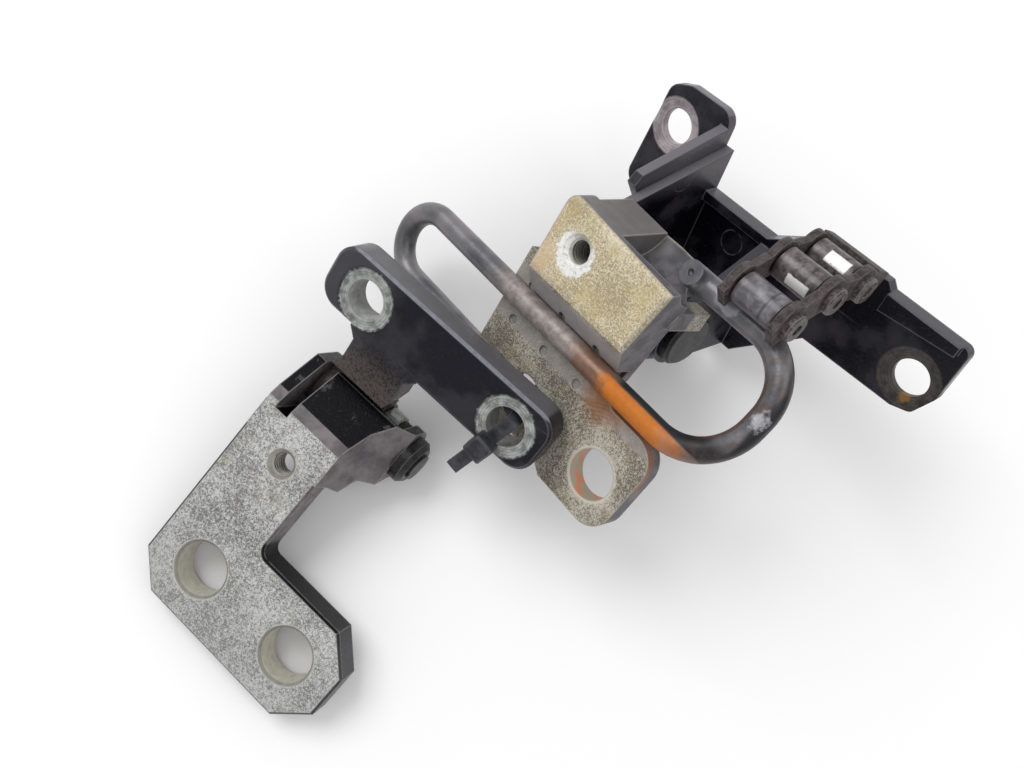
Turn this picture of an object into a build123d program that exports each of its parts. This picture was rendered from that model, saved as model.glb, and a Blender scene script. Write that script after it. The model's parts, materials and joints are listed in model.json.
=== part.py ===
"""Two car door hinges tied together, one of them with a door check: a spring rod and a comb of rollers.

Each hinge has its own frame: x along its pin, y across the plates, z off the plate faces, and the
pin's centre line at y = z = 0. The whole part stands on z = 0.
"""
import os
from math import asin, cos, degrees, radians, sin
from build123d import *

# Clearances
pin_fit = 0.05          # radial, between a pin and its bush
press_fit = 0.01        # radial, between a bush and its bore
running_gap = 0.3       # between faces that slide past each other
seat_gap = 0.1          # between parts that lie on each other

# Where the two hinges lie, in the part's own frame
right_pin_at = (39.28, 21.53, 30.63)
right_pin_way = (0.6043, -0.7386, 0.2988)
right_face_way = (-0.6345, -0.2202, 0.7409)
left_pin_way = (0.7341, -0.6791, 0.0)
left_leaf_way = (-0.4162, -0.45, 0.7901)
left_along, left_across, left_up = -37.7, -70.2, 47.2   # left pin seen from the right pin's frame
left_fold = 19.3        # degrees from the left door plate to the left body leaf
right_fold = 18.5       # degrees from the right door plate to the right body bracket

# Left door bracket
plate_thick = 9
plate_face = 22         # height of the grey face above the pin
foot_left, foot_right = -21.9, 48
foot_low, foot_high = -77, -44
foot_chamfer = 9.5
arm_right = 6.2
arm_end = -9
foot_hole_radius = 8
foot_hole_along = (-4.4, 31.2)
foot_hole_across = -60.4
thread_radius = 3.4
thread_mouth_radius = 4.5
left_thread_at = (-5.6, -20)
lug_radius = 9.2
upper_lug = (-21.5, -17.7)
lower_lug = (12.3, 15.7)
saddle_left = -13
saddle_end = 50         # degrees above the plate where the saddle's edge is
saddle_edge = 18
inner_corner_radius = 3
plate_bevel = 0.8

# Left pin and what it carries
pin_radius = 4.5
left_head_radius = 6.8
left_head_height = 3
barrel_radius = 9.6
barrel_bottom, barrel_top = -17.3, 3.2
bush_wall = 1.5
sleeve_radius = 8.8
sleeve_end = 9.1
washer_radius = 8
left_collar_radius = 7.6
left_collar_height = 4.6

# Left body leaf
leaf_face = 12.3
leaf_thick = 8.8
leaf_left, leaf_right = -29.9, 48.2
leaf_low, leaf_high = 29.2, 49
leaf_corner = 6.5
leaf_hole_radius = 5.75
leaf_hole_along = (-15.9, 36.4)
leaf_hole_across = 38.2
seat_radius = 8.9       # bare ring that a bolt head leaves
seat_depth = 0.15
stem_left, stem_right = -13, 6.5
stem_neck = 20
stem_blend = 3
stem_dip = (9.2, 2)
stem_shoulder = (15.5, 12.3)

# Right door bracket
block_face = 40
block_left, block_right = -21.6, 19.4
block_low, block_high = 0.8, 23.6
block_foot = -7.2       # low side's foot, beside the rod's groove
block_foot_rise = 0.8
block_taper = 4.1       # how much narrower the block is at its right end
block_end_skew = 5.1    # how much shorter it is at its low side
block_skirt = 29        # where the block starts to narrow to the barrel
block_overhang = 33     # underside of the block's upper end, over the body bracket's arm
barrel_shoulder = 15
block_bevel = 1
block_corner = 3.5
block_flare = (26.4, 20.4)      # the block's high side leans out to here, then turns in under itself
block_tuck = (22.8, 16.5)
hollow_start = -3       # from here on the high side is hollowed round the rod's end
hollow_radius = 10.5
hollow_at = (27, 28)
thread_run_out = 12     # how far the thread's drill goes on below the skirt
stop_side = 5.4
stop_across = 8.8
stop_end = 18.2
stop_low = 13
bush_length = 9
gold_barrel_radius = 11.3
gold_barrel = (-17.2, 5.8)
flange_face = 32.4
flange_thick = 6
flange_left, flange_low, flange_neck_high = -28.5, -46.8, -16.2
flange_hidden_low = -44   # low edge beside the hole that the leaf hides
lug_hole_at = (25.4, -34)
lug_hole_pitch = 31.4
lug_hole_radius = 7
lug_reach = 12.9
lug_slope = 2           # how far the lug's low end leans
lug_run = (10, 6)       # from the hole's edge to where the low edge starts and stops rising
lug_corner = 8
flange_neck = 13
rib_thick = 9
rib_low = -19.5
right_thread_at = (-10.3, 12.2)
stake_radius = 1.5
stake_depth = 0.8
stake_along = (-21.5, -7.5, 6.6)
stake_sides = (-7.6, 4)     # from the groove's centre line
stake_reach = 3         # how far above the flange the stakes are open

# Roller comb
comb_radius = 41.7
comb_angles = (26, 7, -12)
roller_radius = 4.4
roller_start, roller_length = 27.3, 12.6
stud_radius = 1.6
cage_wall = 2.2
cage_inner = comb_radius - 3.5
cage_outer = comb_radius + 5.1
cage_back = 1.8
cage_strip = (-26, -17)  # degrees round the pin where a strip joins the two walls behind the rollers
cage_overhang = 8
cage_lobe = 5.4
cap_radius = 3.7
cap_height = 2

# Check rod
rod_radius = 3.4
rod_rise = 1.4          # rod axis above the flange face
groove_across = -10.8
loop_radius = 10.6
loop_left = -59.8
return_end = -15
bend_right = 50.6
first_bend, second_bend = 17, 15
free_angle = 47.07      # where the free leg lies round the pin, in degrees off the door plate
free_gap = 0.57         # from the free leg to the circle that the rollers sweep
free_reach = comb_radius - roller_radius - rod_radius - free_gap
free_across = free_reach * cos(radians(free_angle))
free_up = free_reach * sin(radians(free_angle))
free_end = 19
hook_radius = 5
hook_angle = 80
hook_tail = 0.6
dimple_radius = 0.9     # centre mark in the free end

# Right body bracket
sheet = 3
web_face = -26
arm_lug_radius = 10
right_pin_radius = 5
right_head_radius = 8.5
right_head_height = 3.2
web_low, web_high = -12, 27
ear_high = 35.7
ear_hole_radius = 5.25
lower_ear_hole = (60.3, 19)
upper_ear_hole = (-37.6, 36)
ear_side = 8.5
arm_corner = (28, 11)
arm_foot = 39.6
comb_foot = 37.6
lip_height = 2.2
lip_root = 5.5
ear_dish = 1.2
ear_edges = (-48.3, -44.3, 49.4)    # the upper ear's outer edge at its two ends, and its far edge
ear_corner = 4.5
ear_slope = (7, 2.7)    # how far the upper ear's far corner is cut back
ear_root = (6, 5, 4)    # where the upper ear starts, behind the web
wall_low = 14
wall_neck = -12
wall_shoulder = (24, 0)
wall_top = (35, 4.5)
wall_top_cut = (3, 2)
wall_foot = 45
ring_thick = 1.6

# Cable tie
tie_width = 4
tie_thick = 1.2
tie_head_long, tie_head_wide, tie_head_high = 6.5, 6.2, 5
tie_tail = 9
tie_slant = 2.2         # how far the band drifts along the leaf between its hole and its low edge
tie_corner = 0.8
tie_head_back = 1.3     # from the leaf's low edge back to the head's middle


def turned(hinge, angle):
    """The frame of the other half of a hinge, turned about the same pin."""
    return Plane(hinge.location * Location((0, 0, 0), (angle, 0, 0)))


def across(hinge, along):
    """The plane square to the pin at a distance along it: x across the plates, y off their faces."""
    origin = hinge.from_local_coords((along, 0, 0))
    return Plane(origin, x_dir=hinge.y_dir, z_dir=hinge.x_dir)


def lengthwise(hinge, side):
    """The plane that holds the pin's direction and the faces' normal, at a distance across."""
    origin = hinge.from_local_coords((0, side, 0))
    return Plane(origin, x_dir=hinge.x_dir, z_dir=-hinge.y_dir)


right_door = Plane(right_pin_at, x_dir=right_pin_way, z_dir=right_face_way)
right_body = turned(right_door, right_fold)
left_pin_at = right_door.from_local_coords((left_along, left_across, left_up))
left_body = Plane(left_pin_at, x_dir=left_pin_way, z_dir=left_leaf_way)
left_door = turned(left_body, -left_fold)


def save(piece, label):
    """Names a finished piece and writes it to its own file."""
    piece.label = label
    export_step(piece, f"parts/{label}.step")


def pin_axis(hinge):
    """The centre line of a hinge's pin."""
    return Axis(hinge.origin, hinge.x_dir)


def flat_faces(builder, hinge):
    """The faces parallel to a hinge's plates, from the lowest to the highest."""
    face_way = Axis(hinge.origin, hinge.z_dir)
    return builder.faces().filter_by(face_way).sort_by(face_way)


def drill(hinge, points, radius, low, high):
    """Cuts round holes square to a plate, from one height to another."""
    with BuildSketch(hinge.offset(low)) as holes:
        with Locations(*points):
            Circle(radius)
    extrude(holes.sketch, amount=high - low, mode=Mode.SUBTRACT)


def countersink(hinge, points, mouth, throat, face, depth=0):
    """Cuts cones that narrow from a mouth in a face; without a depth they slope at 45 degrees."""
    for point in points:
        with BuildSketch(hinge.offset(face)) as wide:
            with Locations(point):
                Circle(mouth)
        with BuildSketch(hinge.offset(face - (depth or mouth - throat))) as narrow:
            with Locations(point):
                Circle(throat)
        loft([wide.sketch, narrow.sketch], mode=Mode.SUBTRACT)


def ring(hinge, start, end, outer, inner, bevel):
    """A round piece on the pin, bored through, with its outer edges bevelled."""
    with BuildPart() as piece:
        with BuildSketch(across(hinge, start)):
            Circle(outer)
        extrude(amount=end - start)
        if bevel:
            chamfer(piece.edges(), length=bevel)
        with BuildSketch(across(hinge, start)):
            Circle(inner)
        extrude(amount=end - start, mode=Mode.SUBTRACT)
    return piece.part


def arm_shape(corners):
    """An arm seen along the pin: the lug round the pin and the far corners, held in one tight outline."""
    with BuildLine() as border:
        CenterArc((0, 0), arm_lug_radius, 0, 360)
        Polyline(*corners, close=True)
    make_hull(border.edges())


def sector(inner, outer, first, last):
    """A piece of a flat ring round the pin, between two angles."""
    with BuildLine() as border:
        low_arc = CenterArc((0, 0), inner, first, last - first)
        high_arc = CenterArc((0, 0), outer, first, last - first)
        Line(low_arc @ 0, high_arc @ 0)
        Line(low_arc @ 1, high_arc @ 1)
    make_face(border.edges())


os.makedirs("parts", exist_ok=True)

# Left door bracket: an L shaped forging whose arm ends in two lugs with a saddle between them
foot_holes = [(along, foot_hole_across) for along in foot_hole_along]
plate_back = plate_face - plate_thick
saddle_inner = barrel_radius + running_gap
with BuildPart() as left_lugs:
    with BuildSketch(lengthwise(left_door, lug_radius + 1)):
        with BuildLine():
            Polyline(
                (upper_lug[0], -lug_radius),
                (upper_lug[0], plate_face),
                (arm_right, plate_face),
                (arm_right + 1.5, plate_back + 3),
                (lower_lug[0], lug_radius + 1),
                (lower_lug[1], lug_radius - 3),
                (lower_lug[1], -lug_radius),
                close=True,
            )
        make_face()
    extrude(amount=lug_radius + 1 - arm_end + plate_thick)
    with BuildSketch(across(left_door, upper_lug[0] - 1)):
        Circle(lug_radius)
        with BuildLine():
            Polyline(
                (arm_end - plate_thick, plate_back),
                (arm_end - plate_thick, plate_face),
                (arm_end + 2, plate_face),
                (arm_end + 5.5, plate_face - 1.5),
                (lug_radius - 1, saddle_inner + 2),
                (lug_radius, 0),
                (-lug_radius, 0),
                (-lug_radius - 3, plate_back - 2),
                close=True,
            )
        make_face()
    extrude(amount=lower_lug[1] - upper_lug[0] + 2, mode=Mode.INTERSECT)
    # Room between the lugs for the barrel and for the stem that leaves it under the saddle
    with BuildSketch(across(left_door, upper_lug[1])):
        Circle(saddle_inner)
        with BuildLine():
            Polyline(
                (0, 0),
                (saddle_edge * cos(radians(saddle_end)), saddle_edge * sin(radians(saddle_end))),
                (saddle_edge, -saddle_inner),
                (-saddle_inner, -saddle_inner),
                (-saddle_inner, 0),
                close=True,
            )
        make_face()
    extrude(amount=lower_lug[0] - upper_lug[1], mode=Mode.SUBTRACT)
    with BuildSketch(across(left_door, upper_lug[1])):
        with Locations((saddle_edge / 2 + arm_end, plate_face / 2)):
            Rectangle(saddle_edge, plate_face + 1)
    extrude(amount=saddle_left - upper_lug[1], mode=Mode.SUBTRACT)

with BuildPart() as left_door_bracket:
    with BuildSketch(left_door.offset(plate_back)):
        with BuildLine():
            Polyline(
                (foot_left, arm_end),
                (foot_left, foot_low + foot_chamfer),
                (foot_left + foot_chamfer, foot_low),
                (foot_right - foot_chamfer, foot_low),
                (foot_right, foot_low + foot_chamfer),
                (foot_right, foot_high - foot_chamfer),
                (foot_right - foot_chamfer, foot_high),
                (arm_right, foot_high),
                (arm_right, arm_end),
                close=True,
            )
        make_face()
    extrude(amount=plate_thick)
    thickness_edges = left_door_bracket.edges().filter_by(Axis(left_door.origin, left_door.z_dir))
    inner_corner = left_door.from_local_coords((arm_right, foot_high, plate_face))
    fillet(thickness_edges.sort_by_distance(inner_corner)[0], radius=inner_corner_radius)
    chamfer(flat_faces(left_door_bracket, left_door)[-1].edges(), length=plate_bevel)
    add(left_lugs.part)
    drill(left_door, foot_holes, foot_hole_radius, plate_back, plate_face)
    drill(left_door, [left_thread_at], thread_radius, plate_back - 4, plate_face)
    countersink(left_door, [left_thread_at], thread_mouth_radius, thread_radius, plate_face)
    countersink(left_door, foot_holes, foot_hole_radius + plate_bevel, foot_hole_radius, plate_face)
    with BuildSketch(across(left_door, upper_lug[0])):
        Circle(pin_radius + press_fit)
    extrude(amount=lower_lug[1] - upper_lug[0], mode=Mode.SUBTRACT)
save(left_door_bracket.part, "left_door_bracket")

# Left pin: headed at its upper end, closed by a collar at its lower end
with BuildPart() as left_hinge_pin:
    with BuildSketch(across(left_door, upper_lug[0] - left_head_height)):
        Circle(left_head_radius)
    extrude(amount=left_head_height)
    chamfer(left_hinge_pin.edges().sort_by(pin_axis(left_door))[0], length=1)
    with BuildSketch(across(left_door, upper_lug[0])):
        Circle(pin_radius)
    extrude(amount=lower_lug[1] - upper_lug[0] + left_collar_height + 1)
save(left_hinge_pin.part, "left_hinge_pin")

with BuildPart() as left_pin_collar:
    with BuildSketch(across(left_door, lower_lug[1])):
        Circle(left_collar_radius)
    extrude(amount=left_collar_height)
    chamfer(left_pin_collar.edges().sort_by(pin_axis(left_door))[-1], length=1.6)
    with BuildSketch(across(left_door, lower_lug[1])):
        Circle(pin_radius + press_fit)
    extrude(amount=left_collar_height, mode=Mode.SUBTRACT)
save(left_pin_collar.part, "left_pin_collar")

# Sleeve and friction washer, on the pin between the barrel and the lower lug
save(ring(left_door, barrel_top + running_gap, sleeve_end, sleeve_radius, pin_radius + pin_fit, 0.5),
     "left_pin_sleeve")
save(ring(left_door, sleeve_end + seat_gap, lower_lug[0] - seat_gap, washer_radius,
          pin_radius + pin_fit, 0.4), "left_friction_washer")
bush_outer = pin_radius + pin_fit + bush_wall
save(ring(left_body, barrel_bottom, barrel_top, bush_outer, pin_radius + pin_fit, 0), "left_pin_bush")

# Left body leaf: a plate on a stem that dips under the saddle and widens into the barrel
leaf_back = leaf_face - leaf_thick
leaf_holes = [(along, leaf_hole_across) for along in leaf_hole_along]
stem_reach = leaf_low + leaf_thick
with BuildPart() as leaf_stem:
    with BuildSketch(left_body.offset(-barrel_radius)):
        with BuildLine():
            Polyline(
                (barrel_bottom, 0),
                (barrel_bottom, barrel_radius),
                (stem_left, stem_neck),
                (stem_left, leaf_low - stem_blend),
                (stem_left - stem_blend, leaf_low),
                (stem_left - stem_blend, stem_reach),
                (stem_right + stem_blend, stem_reach),
                (stem_right + stem_blend, leaf_low),
                (stem_right, leaf_low - stem_blend),
                (stem_right, stem_neck),
                (barrel_top, barrel_radius),
                (barrel_top, 0),
                close=True,
            )
        make_face()
    extrude(amount=barrel_radius + leaf_face)
    with BuildSketch(across(left_body, leaf_left)):
        with BuildLine():
            Polyline(
                (0, stem_dip[1] - 3),
                stem_dip,
                stem_shoulder,
                (stem_reach, leaf_face),
                (stem_reach, leaf_back),
                (barrel_radius + 6, leaf_back),
                (barrel_radius + 1.5, -3),
                (0, -barrel_radius + 2),
                close=True,
            )
        make_face()
    extrude(amount=leaf_right - leaf_left, mode=Mode.INTERSECT)

with BuildPart() as left_body_leaf:
    with BuildSketch(left_body.offset(leaf_back)):
        with Locations(((leaf_left + leaf_right) / 2, (leaf_low + leaf_high) / 2)):
            RectangleRounded(leaf_right - leaf_left, leaf_high - leaf_low, leaf_corner)
    extrude(amount=leaf_thick)
    chamfer(flat_faces(left_body_leaf, left_body)[-1].edges(), length=plate_bevel)
    add(leaf_stem.part)
    with BuildSketch(across(left_body, barrel_bottom)):
        Circle(barrel_radius)
    extrude(amount=barrel_top - barrel_bottom)
    with BuildSketch(across(left_body, barrel_bottom)):
        Circle(bush_outer + press_fit)
    extrude(amount=barrel_top - barrel_bottom, mode=Mode.SUBTRACT)
    drill(left_body, leaf_holes, leaf_hole_radius, leaf_back, leaf_face)
    drill(left_body, leaf_holes, seat_radius, leaf_face - seat_depth, leaf_face)
save(left_body_leaf.part, "left_body_leaf")

# Right door bracket: a block that narrows to the barrel, and a flange that carries the rod
flange_back = flange_face - flange_thick
barrel_first, barrel_last = gold_barrel
side_spare = 1      # stock that the leaning cut along the high side takes off
with BuildPart() as gold_block:
    with BuildSketch(lengthwise(right_door, block_flare[0] + 2 * side_spare)):
        with BuildLine():
            Polyline(
                (block_left, block_face),
                (block_right, block_face),
                (block_right, block_skirt),
                (barrel_last, barrel_shoulder),
                (barrel_last, -gold_barrel_radius),
                (barrel_first, -gold_barrel_radius),
                (barrel_first, block_overhang),
                (block_left, block_overhang),
                close=True,
            )
        make_face()
    extrude(amount=block_flare[0] + gold_barrel_radius + 3 * side_spare)
    with BuildSketch(across(right_door, block_left - 1)):
        Circle(gold_barrel_radius)
        with BuildLine():
            Polyline(
                (-gold_barrel_radius, 0),
                (-gold_barrel_radius, flange_back + 1),
                (block_foot, flange_back + 1),
                (block_foot, flange_face + block_foot_rise),
                (block_low, block_face),
                (block_high + side_spare, block_face),
                (block_flare[0] + side_spare, block_flare[1]),
                block_tuck,
                (gold_barrel_radius, gold_barrel_radius / 2),
                (gold_barrel_radius, 0),
                close=True,
            )
        make_face()
    extrude(amount=block_right - block_left + 2, mode=Mode.INTERSECT)
    side_top = right_door.from_local_coords((block_left, block_high, block_face))
    side_way = right_door.from_local_coords((block_right, block_high - block_taper, block_face)) - side_top
    side_down = right_door.from_local_coords((block_left, block_flare[0], block_flare[1])) - side_top
    with BuildSketch(Plane(side_top, x_dir=side_way, z_dir=side_way.cross(side_down))):
        Rectangle(3 * side_way.length, 3 * side_down.length)
    extrude(amount=block_taper + 2 * side_spare, mode=Mode.SUBTRACT)
    with BuildSketch(right_door.offset(-gold_barrel_radius - 1)):
        with BuildLine():
            Polyline(
                (block_right, block_high),
                (block_right + side_spare, block_high),
                (block_right + side_spare, -gold_barrel_radius - 1),
                (block_right - block_end_skew, -gold_barrel_radius - 1),
                close=True,
            )
        make_face()
    extrude(amount=block_face + gold_barrel_radius + 2, mode=Mode.SUBTRACT)
    high_corner = right_door.from_local_coords((block_left, block_high, (block_face + block_overhang) / 2))
    fillet(gold_block.edges().sort_by_distance(high_corner)[0], radius=block_corner)
    chamfer(flat_faces(gold_block, right_door)[-1].edges(), length=block_bevel)
    with BuildSketch(across(right_door, hollow_start)):
        with Locations(hollow_at):
            Circle(hollow_radius)
    extrude(amount=block_right - hollow_start, mode=Mode.SUBTRACT)

rod_up = flange_face + rod_rise
groove_radius = rod_radius + pin_fit
return_across = groove_across - 2 * loop_radius
lug_holes = [lug_hole_at, (lug_hole_at[0] - lug_hole_pitch, lug_hole_at[1])]
with BuildPart() as right_door_bracket:
    with BuildSketch(right_door.offset(flange_back)) as flange_outline:
        with BuildLine():
            Polyline(
                (flange_left, block_low + 1),
                (flange_left, flange_hidden_low),
                (lug_hole_at[0] - lug_hole_radius - lug_run[0], flange_hidden_low),
                (lug_hole_at[0] - lug_hole_radius - lug_run[1], flange_low),
                (lug_hole_at[0] + lug_reach - lug_slope, flange_low),
                (lug_hole_at[0] + lug_reach, flange_neck_high),
                (block_right, flange_neck_high),
                (flange_neck, groove_across),
                (flange_neck, block_low + 1),
                close=True,
            )
        make_face()
        fillet(flange_outline.vertices().sort_by(Axis.X)[-2:], radius=lug_corner)
    extrude(amount=flange_thick)
    with BuildSketch(right_door.offset(flange_face - rib_thick)):
        with Locations(((flange_left + flange_neck) / 2, (rib_low + block_low + 1) / 2)):
            Rectangle(flange_neck - flange_left, block_low + 1 - rib_low)
    extrude(amount=rib_thick)
    add(gold_block.part)
    # A post on the block's lower side stops the body bracket
    with BuildSketch(lengthwise(right_door, stop_across + stop_side)):
        with Locations((stop_end - stop_side / 2, (stop_low + block_skirt) / 2)):
            Rectangle(stop_side, block_skirt - stop_low)
    extrude(amount=stop_side)
    for leg_across, leg_end in ((groove_across, block_right), (return_across, return_end + seat_gap)):
        with BuildSketch(across(right_door, flange_left)):
            with Locations((leg_across, rod_up)):
                Circle(groove_radius)
        extrude(amount=leg_end - flange_left, mode=Mode.SUBTRACT)
    stakes = [(along, groove_across + side) for along in stake_along for side in stake_sides]
    drill(right_door, stakes, stake_radius, flange_face - stake_depth, flange_face + stake_reach)
    drill(right_door, lug_holes, lug_hole_radius, flange_back, flange_face)
    drill(right_door, [right_thread_at], thread_radius, block_skirt - thread_run_out, block_face)
    countersink(right_door, [right_thread_at], thread_mouth_radius, thread_radius, block_face)
    with BuildSketch(across(right_door, barrel_first)):
        Circle(right_pin_radius + pin_fit + bush_wall + press_fit)
    extrude(amount=barrel_last - barrel_first, mode=Mode.SUBTRACT)
save(right_door_bracket.part, "right_door_bracket")

right_bush_outer = right_pin_radius + pin_fit + bush_wall
save(ring(right_door, barrel_first, barrel_first + bush_length, right_bush_outer,
          right_pin_radius + pin_fit, 0), "right_upper_bush")
save(ring(right_door, barrel_last - bush_length, barrel_last, right_bush_outer,
          right_pin_radius + pin_fit, 0), "right_lower_bush")

# Check rod: a loop at its held end, a wide bend, and a free leg whose end is hooked up
bend_plane_way = right_door.from_local_coords((0, free_across - groove_across, free_up - rod_up))
rod_start = right_door.from_local_coords((0, groove_across, rod_up))
bend_side = bend_plane_way - right_door.origin
bend_plane = Plane(rod_start, x_dir=right_door.x_dir, z_dir=right_door.x_dir.cross(bend_side))
free_side = bend_side.length
with BuildLine(right_door.offset(rod_up)) as rod_loop:
    Line((return_end, return_across), (loop_left, return_across))
    ThreePointArc(
        (loop_left, return_across),
        (loop_left - loop_radius, return_across + loop_radius),
        (loop_left, groove_across),
    )
    Line((loop_left, groove_across), (0, groove_across))
with BuildLine(bend_plane) as rod_bend:
    FilletPolyline(
        (0, 0), (bend_right, 0), (bend_right, free_side), (free_end, free_side),
        radius=[first_bend, second_bend],
    )
hook_plane = Plane(
    bend_plane.from_local_coords((free_end, free_side, 0)),
    x_dir=-right_door.x_dir,
    z_dir=bend_plane.y_dir,
)
with BuildLine(hook_plane) as rod_hook:
    hook_arc = CenterArc((0, hook_radius), hook_radius, -90, hook_angle)
    Line(hook_arc @ 1, hook_arc @ 1 + (hook_arc % 1) * hook_tail)
rod_route = Wire(rod_loop.edges() + rod_bend.edges() + rod_hook.edges())
with BuildPart() as check_rod:
    with BuildSketch(Plane(rod_route @ 0, z_dir=rod_route % 0)):
        Circle(rod_radius)
    sweep(path=rod_route)
    with Locations(Plane(rod_route @ 1, z_dir=rod_route % 1)):
        Sphere(dimple_radius, mode=Mode.SUBTRACT)
save(check_rod.part, "check_rod")

# Body bracket: an inner channel of web and arms with the lower ear, and an outer plate with the upper ear
web_back = web_face - sheet
upper_arm = barrel_first - running_gap
lower_arm = barrel_last + running_gap
with BuildPart() as body_channel:
    with BuildSketch(right_body.offset(web_back)) as web_outline:
        with BuildLine():
            Polyline(
                (upper_arm - sheet, web_low),
                (upper_arm - sheet, web_high),
                (lower_arm + 1, web_high),
                (roller_start - 4, comb_foot),
                (roller_start + roller_length + 2, comb_foot),
                (roller_start + roller_length + 4, ear_high),
                (lower_ear_hole[0] + ear_side, ear_high),
                (lower_ear_hole[0] + ear_side, lower_ear_hole[1]),
                (lower_ear_hole[0] + ear_side - 3, lower_ear_hole[1] - ear_side + 1),
                (lower_ear_hole[0], lower_ear_hole[1] - ear_side - 1),
                (roller_start + 3, lower_ear_hole[1] - ear_side - 2.5),
                (lower_arm + 6, web_low),
                close=True,
            )
        make_face()
        fillet(web_outline.vertices().sort_by(Axis.X)[-4:], radius=2.5)
    extrude(amount=sheet)
    # Upturned lip along the free edge
    with BuildSketch(right_body.offset(web_face)):
        with BuildLine():
            Polyline(
                (upper_arm, web_high - sheet),
                (upper_arm, web_high),
                (lower_arm + 1, web_high),
                (roller_start - 4, comb_foot),
                (roller_start - 4, comb_foot - sheet - 1),
                (lower_arm + 2, web_high - sheet),
                close=True,
            )
        make_face()
    extrude(amount=lip_height)
    with BuildSketch(right_body.offset(web_face)):
        with BuildLine():
            Polyline(
                (roller_start + roller_length + 4, ear_high - lip_root),
                (roller_start + roller_length + 4, ear_high),
                (lower_ear_hole[0] + ear_side - 2.5, ear_high),
                (lower_ear_hole[0] + ear_side - 2.5, ear_high - sheet),
                close=True,
            )
        make_face()
    extrude(amount=lip_height)
    # Arms: the upper one is the wider of the two
    with BuildSketch(across(right_body, upper_arm - sheet)):
        arm_shape((arm_corner, (arm_foot, web_back), (web_low, web_back)))
    extrude(amount=sheet)
    with BuildSketch(across(right_body, lower_arm)):
        arm_shape(((web_high - 1, web_face), (web_high - 1, web_back), (web_low, web_back)))
    extrude(amount=sheet)
    for arm_start in (upper_arm - sheet, lower_arm):
        with BuildSketch(across(right_body, arm_start)):
            Circle(right_pin_radius + press_fit)
        extrude(amount=sheet, mode=Mode.SUBTRACT)
    drill(right_body, [lower_ear_hole], ear_hole_radius, web_back, web_face)
    countersink(right_body, [lower_ear_hole], seat_radius, ear_hole_radius, web_face, ear_dish)
save(body_channel.part, "body_channel")

with BuildPart() as ear_plate:
    with BuildSketch(across(right_body, upper_arm - 2 * sheet)):
        with BuildLine():
            Polyline(
                (wall_low, web_back),
                (wall_low, wall_neck),
                wall_shoulder,
                (wall_top[0] - wall_top_cut[0], wall_top[1] + wall_top_cut[1]),
                wall_top,
                (wall_foot, web_face),
                (wall_foot, web_back),
                close=True,
            )
        make_face()
    extrude(amount=sheet)
    with BuildSketch(right_body.offset(web_back)) as upper_ear_outline:
        with BuildLine():
            Polyline(
                (upper_arm - sheet, wall_low - ear_root[2]),
                (ear_edges[0] + ear_root[0], wall_low - ear_root[1]),
                (ear_edges[0], wall_low),
                (ear_edges[1], ear_edges[2] - ear_slope[1]),
                (ear_edges[1] + ear_slope[0], ear_edges[2]),
                (upper_arm - sheet, ear_edges[2]),
                close=True,
            )
        make_face()
        ear_corners = upper_ear_outline.vertices().sort_by(Axis.Y)
        fillet(ear_corners[:1] + ear_corners[2:], radius=ear_corner)
    extrude(amount=sheet)
    drill(right_body, [upper_ear_hole], ear_hole_radius, web_back, web_face)
    countersink(right_body, [upper_ear_hole], seat_radius, ear_hole_radius, web_face, ear_dish)
save(ear_plate.part, "ear_plate")

# Right pin: its head is at the lower arm, a ring holds its upper end
with BuildPart() as right_hinge_pin:
    with BuildSketch(across(right_body, lower_arm + sheet)):
        Circle(right_head_radius)
    extrude(amount=right_head_height)
    chamfer(right_hinge_pin.edges().sort_by(pin_axis(right_body))[-1], length=1)
    with BuildSketch(across(right_body, upper_arm - sheet - ring_thick - 1.5)):
        Circle(right_pin_radius)
    extrude(amount=lower_arm - upper_arm + 2 * sheet + ring_thick + 1.5)
save(right_hinge_pin.part, "right_hinge_pin")
save(ring(right_body, upper_arm - sheet - ring_thick, upper_arm - sheet, right_pin_radius + 2.5,
          right_pin_radius + press_fit, 0.3), "right_retaining_ring")

# Roller comb: a cage on the body bracket with three studs, each with a roller and an end cap
cage_first = roller_start - running_gap - cage_wall
cage_last = roller_start + roller_length + running_gap
cage_foot_angle = degrees(asin(web_face / cage_outer))
cage_top_angle = comb_angles[0] + cage_overhang
studs = [(comb_radius * cos(radians(a)), comb_radius * sin(radians(a))) for a in comb_angles]
with BuildPart() as roller_cage:
    for wall_start, wall_end_angle in ((cage_first, cage_foot_angle), (cage_last, cage_strip[0])):
        with BuildSketch(across(right_body, wall_start)):
            sector(cage_inner, cage_outer - cage_back, wall_end_angle, cage_top_angle)
            with Locations(*studs):
                Circle(cage_lobe)
            Circle(cage_inner, mode=Mode.SUBTRACT)
        extrude(amount=cage_wall)
    with BuildSketch(across(right_body, cage_first)):
        sector(cage_outer - cage_back, cage_outer, *cage_strip)
    extrude(amount=cage_last - cage_first + cage_wall)
    for wall_start in (cage_first, cage_last):
        with BuildSketch(across(right_body, wall_start)):
            with Locations(*studs):
                Circle(stud_radius + press_fit)
        extrude(amount=cage_wall, mode=Mode.SUBTRACT)
save(roller_cage.part, "roller_cage")

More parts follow.
